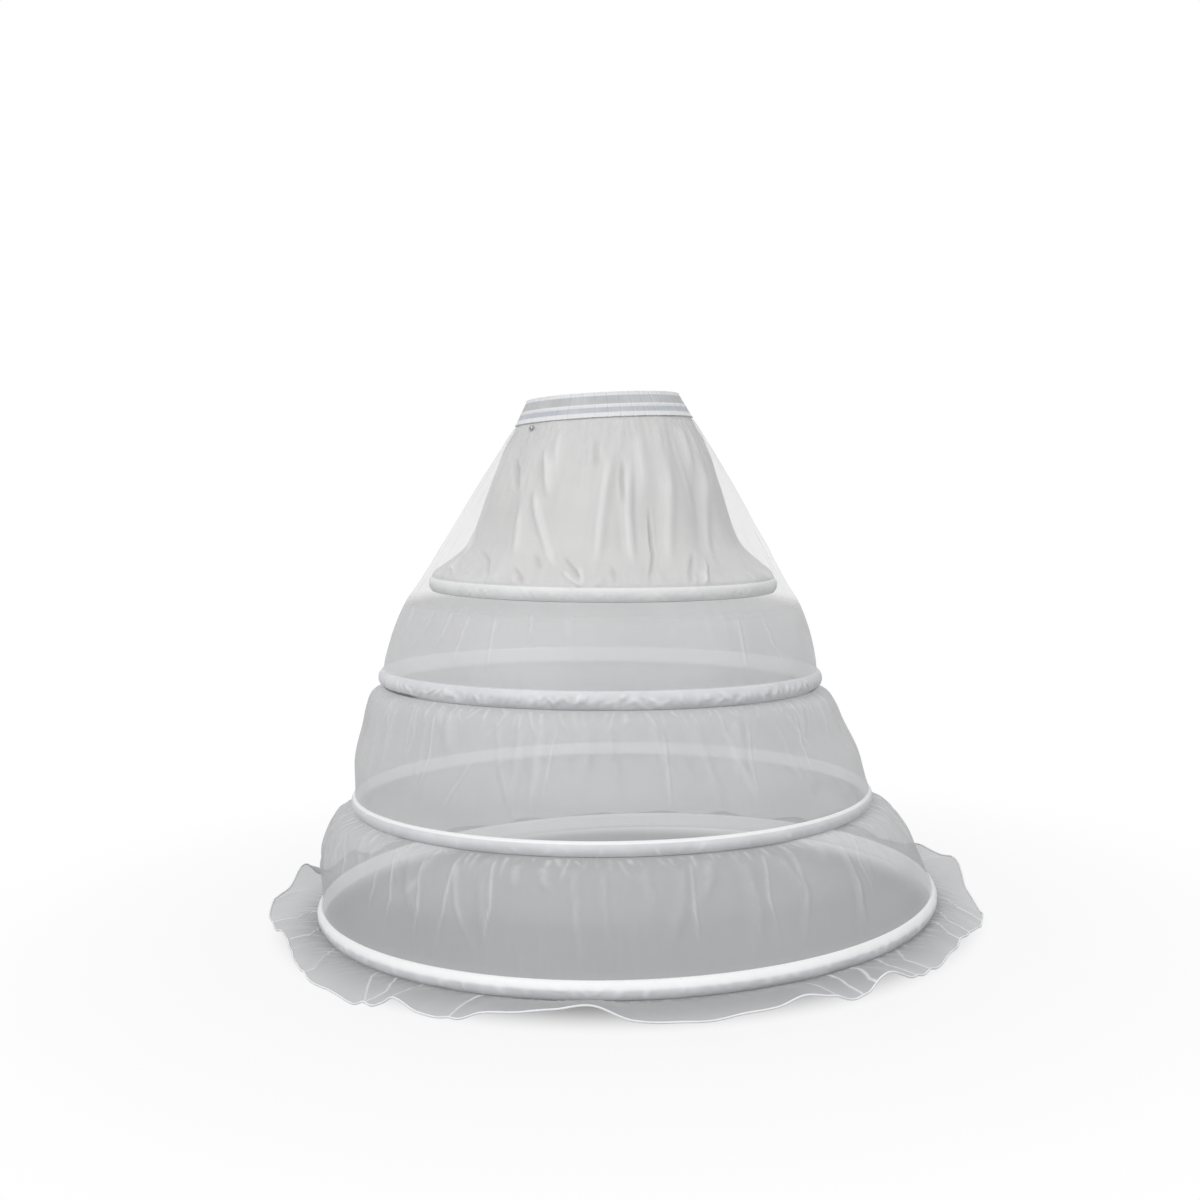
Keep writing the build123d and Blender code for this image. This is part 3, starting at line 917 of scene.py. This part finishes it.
class CRINOLINE_OT_yoke(bpy.types.Operator):
    """Make the gathered satin yoke, puckered above its hoop"""
    bl_idname = "crinoline.yoke"
    bl_label = "Satin yoke"

    def execute(self, context):
        sizes, colours = context.scene.crinoline_sizes, context.scene.crinoline_colours
        wall = yoke_wall(sizes)
        folds = Folds(wall, YOKE_ROWS)
        waist_gathers(folds)
        chance = np.random.default_rng(12)
        folds.gathers(chance, count=26, width=0.0115, depth=0.0048, start=0.004, reach=0.24, sway=0.08,
                      close=0.45, ends=(0.25, 0.5))
        folds.gathers(chance, count=40, width=0.0070, depth=0.0024, start=0.006, reach=0.20, sway=0.05,
                      close=0.35, ends=(0.2, 0.6))
        self.puckers(chance, folds, 64)
        for points, width, depth, close in YOKE_CREASES:
            folds.pictured(points, width, depth, close, (0.35, 0.35))
        ease = np.clip((wall.length - YOKE_CASING_ROOM - folds.down) / YOKE_EASE, 0, 1)[:, None]
        start = np.clip(folds.down / SEAM_RISE, YOKE_START, 1)[:, None]
        room = YOKE_ROOM + np.clip(folds.down - YOKE_ROOM_START, 0, None)[:, None] * YOKE_ROOM_GROWTH
        push = np.minimum(folds.push * ease * start, room)
        points = wall.place(folds.angles, folds.down, push - FACE_INSET)
        # Painted shade and highlight: the satin is coloured darker in its valleys and lighter on its ridges
        # and marked creases, whatever the light
        height = (folds.push - folds.push.mean(axis=1, keepdims=True)) / YOKE_SHADE_DEPTH
        shade = np.clip(0.5 + height + 0.4 * folds.close, 0, 1)
        yoke = cloth_piece("yoke_cloth", points, (1.70, folds.down), fold=shade)
        dress(yoke, satin_finish(colours), "satin", "satin_yoke")
        return {"FINISHED"}

    def puckers(self, chance, folds, count):
        """Short folds that the hoop's casing draws up in the satin."""
        seam = folds.wall.length - CASING_ROOM
        for step in range(count):
            angle = TAU * (step + chance.uniform(-0.4, 0.4)) / count
            reach = chance.uniform(0.018, 0.055)
            path = [(angle + chance.normal(0, 0.05), seam - reach), (angle, seam)]
            folds.crease(path, chance.uniform(0.004, 0.008), chance.uniform(0.001, 0.003), 0.3, (0.7, 0.1))


class CRINOLINE_OT_sheers(bpy.types.Operator):
    """Make the three sheer tiers of the outer skirt"""
    bl_idname = "crinoline.sheers"
    bl_label = "Sheer tiers"

    def execute(self, context):
        sizes, colours = context.scene.crinoline_sizes, context.scene.crinoline_colours
        cage = hoops(sizes)
        single, folded = toned(colours.net), toned(colours.net_fold)
        net = net_finish("middle net", single, folded, 0.60)
        over_yoke = net_finish("upper net", toned(single, 1.09), folded, 0.57, thin=(0.17, 0.308, 0.336))
        low = net_finish("lower net", toned(single, 0.95), folded, 0.60)

        folds = Folds(upper_wall(sizes), UPPER_ROWS)
        waist_gathers(folds)
        chance = np.random.default_rng(21)
        folds.gathers(chance, count=90, width=0.0040, depth=0.0010, start=0.0, reach=0.24, sway=0.02,
                      close=0.35, ends=(0.0, 0.8))
        folds.gathers(chance, count=44, width=0.0075, depth=0.0022, start=0.16, reach=0.24, sway=0.04,
                      close=0.30, ends=(0.4, 0.4))
        for points in UPPER_CREASES:
            folds.pictured(points, 0.0026, 0.0016, 0.5, (0.25, 0.45))
        folds.pictured(PLACKET, 0.0014, 0.0009, 1.0, (0.1, 0.4))
        self.tier("upper_net", folds, over_yoke, "upper_sheer", (2.2, 0.45), 0.74,
                  ["waistband_cloth", "upper_hoop"])

        folds = Folds(tier_wall(cage["upper"], cage["middle"], MIDDLE_LEVELS), TIER_ROWS)
        chance = np.random.default_rng(22)
        folds.gathers(chance, count=150, width=0.0038, depth=0.0014, start=0.002, reach=0.065, sway=0.03,
                      close=0.55)
        folds.gathers(chance, count=50, width=0.0070, depth=0.0024, start=0.010, reach=0.17, sway=0.06,
                      close=0.40, ends=(0.2, 0.5))
        for points in MIDDLE_CREASES:
            folds.pictured(points, 0.0025, 0.0016, 0.5, (0.25, 0.5))
        self.tier("middle_net", folds, net, "middle_sheer", (2.6, 0.19), None,
                  ["upper_hoop", "middle_hoop"], slim=(0.0, 0.005))

        folds = Folds(tier_wall(cage["middle"], cage["hem"], LOWER_LEVELS), TIER_ROWS)
        chance = np.random.default_rng(23)
        folds.gathers(chance, count=190, width=0.0038, depth=0.0016, start=0.002, reach=0.060, sway=0.03,
                      close=0.60)
        folds.gathers(chance, count=64, width=0.0075, depth=0.0030, start=0.008, reach=0.16, sway=0.06,
                      close=0.45, ends=(0.2, 0.5))
        for points in LOWER_CREASES:
            folds.pictured(points, 0.0027, 0.0018, 0.55, (0.2, 0.5))
        self.tier("lower_net", folds, low, "lower_sheer", (3.1, 0.19), None,
                  ["middle_hoop", "hem_hoop"], slim=(0.004, 0.006))
        return {"FINISHED"}

    def tier(self, name, folds, net, node, flat, area, rests_on, slim=(0.0, 0.0)):
        """One tier. Slim draws the cloth in all round, and by a further length at the wearer's left."""
        wall = folds.wall
        free = wall.length - CASING_ROOM
        share = np.clip(folds.down / free, 0, 1)[:, None]
        drawn = slim[0] + slim[1] * np.clip(np.cos(folds.angles), 0, 1)[None]
        folds.push -= drawn * np.sin(np.pi * share) ** 0.7
        ease = np.clip((free - folds.down) / TIER_EASE, 0, 1)[:, None]
        start = np.clip(folds.down / SEAM_RISE, TIER_START, 1)[:, None]
        points = wall.place(folds.angles, folds.down, folds.push * ease * start - FACE_INSET)
        hem = Seat((0, 0, 0), UP, *wall.at([wall.length])[0, 6:8])
        piece = cloth_piece(name, points, (oval_length(hem), folds.down), fold=folds.close)
        dress(piece, net, "sheer", node)


class CRINOLINE_OT_casings(bpy.types.Operator):
    """Make the tape casings that hold the hoops, each with its own fullness and wrinkles"""
    bl_idname = "crinoline.casings"
    bl_label = "Hoop casings"

    def execute(self, context):
        sizes, colours = context.scene.crinoline_sizes, context.scene.crinoline_colours
        tint = toned(colours.tape)
        looks = {
            "yoke": ("yoke tape", YOKE_TAPE),
            "upper": ("wrinkled tape", toned(tint, 1.05)),
            "middle": ("smooth tape", toned(tint, 1.06)),
            "hem": ("hem tape", toned(tint, 1.08)),
        }
        for step, (name, hoop) in enumerate(hoops(sizes).items()):
            tape = TAPES[name]
            folds = Folds(Wall([(hoop.top(), 0), (hoop.bottom(), 0)]), TAPE_ROWS)
            self.wrinkles(np.random.default_rng(31 + step), folds, *tape["wrinkles"])
            # Painted shadow: the upper tape's bottom rows get a dark mark, where the gap below it lies in
            # shade
            if name == "upper":
                gap = self.painted_gap_shadow(np.degrees(folds.angles) % 360)
                folds.close[-3:] = np.where(gap > 0.02, -gap, folds.close[-3:])
            lively = 1 + 0.12 * np.cos(7 * folds.angles + step)
            lively += 0.10 * np.cos(17 * folds.angles + 2 * step)
            if name != "upper":
                lively = 1 + (lively - 1) * 0.3
            points, lengths = self.section(folds, sizes.tape_fullness * tape["full"], lively)
            behind = np.zeros((TAPE_INNER_ROWS, COLUMNS))
            piece = cloth_piece(f"{name}_tape", points, (oval_length(hoop), lengths), section_closed=True,
                                fold=np.vstack([folds.close, behind]),
                                inner=np.vstack([np.zeros((TAPE_ROWS, COLUMNS)), behind + 1]))
            apply_modifier(piece, "SOLIDIFY", thickness=TAPE_WALL, offset=0.0)
            look, shade = looks[name]
            finish = tape_finish(look, shade, tape["stitches"], tape["piping"])
            dress(piece, finish, "tape", f"{name}_casing")
            oval_length(hoop) * 1.02
            hoop.casing * 2.25
        return {"FINISHED"}

    def wrinkles(self, chance, folds, count, width, depth):
        """Small slanting folds all along a tape, each with a painted highlight along its ridge."""
        height = folds.wall.length
        for item in range(count):
            angle = TAU * (item + chance.uniform(-0.45, 0.45)) / count
            lean = chance.normal(0, 0.012)
            begin, long = chance.uniform(0, 0.45) * height, chance.uniform(0.4, 1.0) * height
            path = [(angle - lean, begin), (angle + lean, min(begin + long, height))]
            broad, deep = width * chance.uniform(0.6, 1.4), depth * chance.uniform(0.4, 1.2)
            folds.crease(path, broad, deep, chance.uniform(0.2, 0.9), (0.3, 0.3))

    def painted_gap_shadow(self, turn):
        """Painted shadow for the gap below the tape: darkest at the wearer's right, and less so at the
        left.
        """
        left = (turn + 180) % 360 - 180
        return np.maximum(np.clip((turn - 176) / 6, 0, 1) * np.clip((224 - turn) / 8, 0, 1),
                          0.7 * np.clip((left + 30) / 8, 0, 1) * np.clip((2 - left) / 14, 0, 1))

    def section(self, folds, fullness, lively):
        """Points of a tape that bulges over its hoop and closes behind it, and lengths down the cloth."""
        wall, share = folds.wall, folds.down / folds.wall.length
        bulge = (fullness * np.sin(np.pi * share) ** 0.75)[:, None]
        push = TAPE_SEAM + bulge * lively[None] + folds.push * np.sin(np.pi * share)[:, None]
        push = np.minimum(push, TAPE_SEAM + bulge + TAPE_LIMIT)
        outside = wall.place(folds.angles, folds.down, push)
        behind = np.linspace(0.985, 0.015, TAPE_INNER_ROWS) * wall.length
        inside = wall.place(folds.angles, behind, np.full((TAPE_INNER_ROWS, 1), -TAPE_BACK))
        steps = np.linalg.norm(np.diff(outside[:, 0], axis=0), axis=1)
        front = np.r_[0, np.cumsum(steps)]
        return np.vstack([outside, inside]), np.r_[front, front[-1] + wall.length - behind]


def hem_spot(seat, x, y):
    """Angle of the place at the hem's level that the picture shows at pixel x, y, and its reach."""
    ray = sight(x, y)
    offset = seat.centre - np.array(EYE)
    point = ray * (offset @ seat.normal) / (ray @ seat.normal) - offset
    reach = np.hypot(point[0], point[1]) - seat.half_width
    return float(np.arctan2(point[1], point[0]) % TAU), float(reach)


def ruffle_edge(angles):
    """Reach and rise of the ruffle's outer edge in metres, on a smooth curve through all its folds."""
    folds = list(RUFFLE_FRONT)
    count = 2 * RUFFLE_BACK["lobes"]
    for step in range(count + 1):
        share = step / count
        angle = RUFFLE_BACK["first"] + (RUFFLE_BACK["last"] - RUFFLE_BACK["first"]) * share
        swing = RUFFLE_BACK["swing"] * (1 if step % 2 else -1) * (0.7 + 0.3 * np.cos(5 * share + 1))
        folds.append((angle + 1.5 * np.sin(4 * step), RUFFLE_BACK["reach"], RUFFLE_BACK["rise"] + swing))
    folds = np.array(folds + RUFFLE_LEFT, float)
    laps = np.vstack([folds[-2:] - [360, 0, 0], folds, folds[:3] + [360, 0, 0]])
    at = (np.degrees(angles) - folds[0, 0]) % 360 + folds[0, 0]
    index = np.clip(np.searchsorted(laps[:, 0], at, side="right") - 1, 1, len(laps) - 3)
    before, first, last, after = laps[index - 1], laps[index], laps[index + 1], laps[index + 2]
    span = (last[:, 0] - first[:, 0])[:, None]
    share = (at - first[:, 0])[:, None] / span
    start = (last - before)[:, 1:] / (last - before)[:, :1] * span
    end = (after - first)[:, 1:] / (after - first)[:, :1] * span
    curve = hermite(share, first[:, 1:], last[:, 1:], start, end)
    return curve[:, 0] / 1000, curve[:, 1] / 1000


class CRINOLINE_OT_ruffle(bpy.types.Operator):
    """Make the gathered hem ruffle and its thin rolled edge"""
    bl_idname = "crinoline.ruffle"
    bl_label = "Hem ruffle"

    def execute(self, context):
        sizes, colours = context.scene.crinoline_sizes, context.scene.crinoline_colours
        hem = hoops(sizes)["hem"]
        seat = hem.bottom().lowered(SEAM_GAP + 0.0005, SEAM_GAP)
        angles = start_angles(RUFFLE_COLUMNS)
        share = np.linspace(0, 1, RUFFLE_ROWS)[:, None]
        chance = np.random.default_rng(41)
        push, close = self.seam_gathers(chance, angles, share, hem.half_width)
        for ends in RUFFLE_LINES:
            near, far = (hem_spot(seat, *pixel) for pixel in ends)
            self.sharp_fold(push, close, angles, share, near, far, hem.half_width)
        sides = 0.5 + 1.2 * np.abs(np.cos(angles)) ** 4
        for waves, depth in RUFFLE_WAVES:
            push += depth * sides[None] * np.cos(waves * angles + chance.uniform(0, TAU))[None] * share
        reach, rise = ruffle_edge(angles)
        right, back = level_axes(hem.normal)
        radius = seat.half_width + reach[None] * share
        settle = np.clip(share / RUFFLE_SETTLE, 0, 1)
        arch = RUFFLE_ARCH * np.sin(np.pi * share)
        lift = rise[None] * share + arch + (push - RUFFLE_SINK) * settle
        points = (seat.centre + (radius * np.cos(angles))[:, :, None] * right
                  + (radius * np.sin(angles))[:, :, None] * back + lift[:, :, None] * hem.normal)
        net = net_finish("ruffle net", toned(colours.ruffle), toned(colours.net_fold), 0.70)
        around = TAU * hem.half_width
        ruffle = cloth_piece("ruffle_net", points, (around, share[:, 0] * RUFFLE_CLOTH), fold=close)

        turns = np.arange(7)
        roll = self.rolled_edge(points, turns / 7 * TAU)
        edge = cloth_piece("ruffle_rolled_edge", roll, (around, turns * 0.001), section_closed=True,
                           fold=np.full((7, RUFFLE_COLUMNS), 0.5))
        dress(edge, tape_finish("rolled hem", toned(colours.tape, 1.25), (0.002,)), "ruffle_sheer")
        dress(ruffle, net, "ruffle_sheer", "hem_ruffle")
        return {"FINISHED"}

    def seam_gathers(self, chance, angles, share, radius):
        """Push and closeness of the gathers at the ruffle's seam, longest at the two sides in front."""
        push, close = np.zeros((RUFFLE_ROWS, RUFFLE_COLUMNS)), np.zeros((RUFFLE_ROWS, RUFFLE_COLUMNS))
        for step in range(RUFFLE_GATHERS):
            angle = TAU * (step + chance.uniform(-0.45, 0.45)) / RUFFLE_GATHERS
            side = abs(np.cos(angle)) ** 3 if np.sin(angle) < 0 else 0.7
            long = chance.uniform(0.2, 0.5) + 0.5 * side
            drift = chance.normal(0, 0.008)
            width = chance.uniform(0.0022, 0.0048) * (0.8 + share * 1.2) / radius
            offset = wrapped(angles[None] - angle - drift * share) / width
            ridge = bell(offset) * np.clip(1 - share / long, 0, 1) ** 0.8
            push += ridge * chance.uniform(0.0015, 0.0034)
            close = np.maximum(close, ridge * chance.uniform(0.3, 0.8) * (0.35 + 0.65 * side))
        return push, close

    def sharp_fold(self, push, close, angles, share, near, far, radius):
        """Add one sharp fold from near to far, each an angle and a reach, and hold its slant."""
        start, end = near[1] / RUFFLE_DEPTH, min(far[1] / RUFFLE_DEPTH, 1.0)
        span = max(end - start, 0.05)
        along = np.clip((share - start) / span, 0, 1)
        steepest = FOLD_SLANT * RUFFLE_DEPTH * span / radius
        shift = np.clip(wrapped(far[0] - near[0]), -steepest, steepest)
        offset = wrapped(angles[None] - far[0] + shift * (1 - along)) * radius / FOLD_WIDTH
        ridge = bell(offset) * np.clip((share - start + 0.12) / 0.1, 0, 1)
        push += bell(offset / 6) * share * 0.0028 + ridge * 0.0004
        np.maximum(close, ridge, out=close)

    def rolled_edge(self, points, turns):
        """Rows of a thin roll around the ruffle's outer edge."""
        rim = points[-1]
        along = np.roll(rim, -1, axis=0) - np.roll(rim, 1, axis=0)
        along /= np.linalg.norm(along, axis=1)[:, None]
        outwards = rim - points[-2]
        outwards -= along * (outwards * along).sum(1)[:, None]
        outwards /= np.linalg.norm(outwards, axis=1)[:, None]
        over = np.cross(outwards, along)
        return np.array([rim + outwards * np.cos(turn) * ROLLED_EDGE - over * np.sin(turn) * ROLLED_EDGE
                         for turn in turns])


class CRINOLINE_OT_metal(bpy.types.Operator):
    """Finish the steel hoops, their joining sleeves and the waist stud"""
    bl_idname = "crinoline.metal"
    bl_label = "Steel and stud"

    def execute(self, context):
        colours = context.scene.crinoline_colours
        steel = toned(colours.steel)
        finishes = {
            "hoop": metal_finish("spring steel", steel, 0.28, (1.0, 1.0, 9.0)),
            "joiner": metal_finish("crimped sleeve", toned(steel, 1.15), 0.34, (6.0, 1.0, 1.0)),
            "stud": metal_finish("polished stud", (0.55, 0.55, 0.57), 0.12, (1.0, 1.0, 1.0)),
        }
        for name, node in frame["nodes"].items():
            chosen = finishes.get(name.split("_")[-1])
            if not chosen:
                continue
            if not node.material_slots:
                raise RuntimeError(f"{name} has no material slot")
            for slot in node.material_slots:
                slot.material = chosen
        return {"FINISHED"}


class CRINOLINE_OT_stage(bpy.types.Operator):
    """Make the floor, the light and the camera"""
    bl_idname = "crinoline.stage"
    bl_label = "Stage"

    def execute(self, context):
        deselect()
        bpy.ops.mesh.primitive_plane_add(size=16, location=FLOOR_PLACE)
        floor = context.active_object
        floor.name = "floor"
        finish = material("pale floor")
        rays = finish.node("ShaderNodeLightPath", output="Is Camera Ray")
        measure = {"operation": "LENGTH"}
        away = finish.node("ShaderNodeVectorMath", measure, {0: finish.place()}, output="Value")
        grey = finish.mix(finish.noise(3.0), *FLOOR_SHADE_GREYS)
        ground = finish.node("ShaderNodeBsdfDiffuse", sockets={"Color": grey})
        glow = finish.node("ShaderNodeEmission", sockets={"Color": (1, 1, 1, 1), "Strength": 1.0})
        # Camera rays see the floor whitened by a glow, but not in a disc under the skirt: there its dark
        # grey is left as painted shade over the real shade
        share = rays * (away.between(0.46, 0.58) * 0.82 + away.between(0.58, 1.2) * 0.08 + 0.10)
        both = finish.node("ShaderNodeMixShader", sockets={0: share, 1: ground, 2: glow})
        finish.node("ShaderNodeOutputMaterial", sockets={"Surface": both})
        floor.data.materials.append(finish.owner)

        world = bpy.data.worlds.new("soft room")
        context.scene.world = world
        sky = Finish(world)
        rays = sky.node("ShaderNodeLightPath", output="Is Camera Ray")
        seen = rays.at_least(rays.beside("Is Glossy Ray")).at_least(rays.beside("Is Transmission Ray"))
        tint = (0.98, 0.99, 1.0, 1.0)
        light = sky.node("ShaderNodeBackground", sockets={"Color": tint, "Strength": ROOM_LIGHT})
        white = sky.node("ShaderNodeBackground", sockets={"Color": (1, 1, 1, 1), "Strength": 1.0})
        mixed = sky.node("ShaderNodeMixShader", sockets={0: seen, 1: light, 2: white})
        sky.node("ShaderNodeOutputWorld", sockets={"Surface": mixed})

        for name, strength, angle, turn in SUNS:
            lamp = bpy.data.lights.new(name, "SUN")
            lamp.energy, lamp.angle = strength, np.radians(angle)
            held = bpy.data.objects.new(name, lamp)
            held.rotation_euler = [np.radians(v) for v in turn]
            context.scene.collection.objects.link(held)

        camera = bpy.data.cameras.new("camera")
        camera.sensor_width = SENSOR
        camera.lens = FOCAL / PICTURE * SENSOR
        camera.shift_x = -ASIDE / PICTURE
        seat = bpy.data.objects.new("camera", camera)
        seat.matrix_world = Matrix.Translation(EYE) @ camera_turn().to_4x4()
        context.scene.collection.objects.link(seat)
        context.scene.camera = seat
        context.scene.view_settings.view_transform = "Standard"
        return {"FINISHED"}


class CRINOLINE_PT_panel(bpy.types.Panel):
    """Everything that makes up the cage, from the waist down"""
    bl_label = "Crinoline cage"
    bl_idname = "CRINOLINE_PT_panel"
    bl_space_type = "VIEW_3D"
    bl_region_type = "UI"
    bl_category = "Crinoline"

    def draw(self, context):
        for group in (context.scene.crinoline_sizes, context.scene.crinoline_colours):
            box = self.layout.box()
            for name in group.__annotations__:
                box.prop(group, name)
        for operator in OPERATORS:
            self.layout.operator(operator.bl_idname)


OPERATORS = (CRINOLINE_OT_stage, CRINOLINE_OT_waistband, CRINOLINE_OT_yoke, CRINOLINE_OT_sheers,
             CRINOLINE_OT_casings, CRINOLINE_OT_ruffle, CRINOLINE_OT_metal)
CLASSES = (CrinolineSizes, CrinolineColours, *OPERATORS, CRINOLINE_PT_panel)


def register():
    for item in CLASSES:
        bpy.utils.register_class(item)
    bpy.types.Scene.crinoline_sizes = PointerProperty(type=CrinolineSizes)
    bpy.types.Scene.crinoline_colours = PointerProperty(type=CrinolineColours)


def unregister():
    del bpy.types.Scene.crinoline_colours
    del bpy.types.Scene.crinoline_sizes
    for item in reversed(CLASSES):
        bpy.utils.unregister_class(item)


def main():
    register()
    bpy.ops.crinoline.stage()
    bpy.ops.crinoline.waistband()
    bpy.ops.crinoline.yoke()
    bpy.ops.crinoline.sheers()
    bpy.ops.crinoline.casings()
    bpy.ops.crinoline.ruffle()
    bpy.ops.crinoline.metal()


if __name__ == "__main__":
    main()
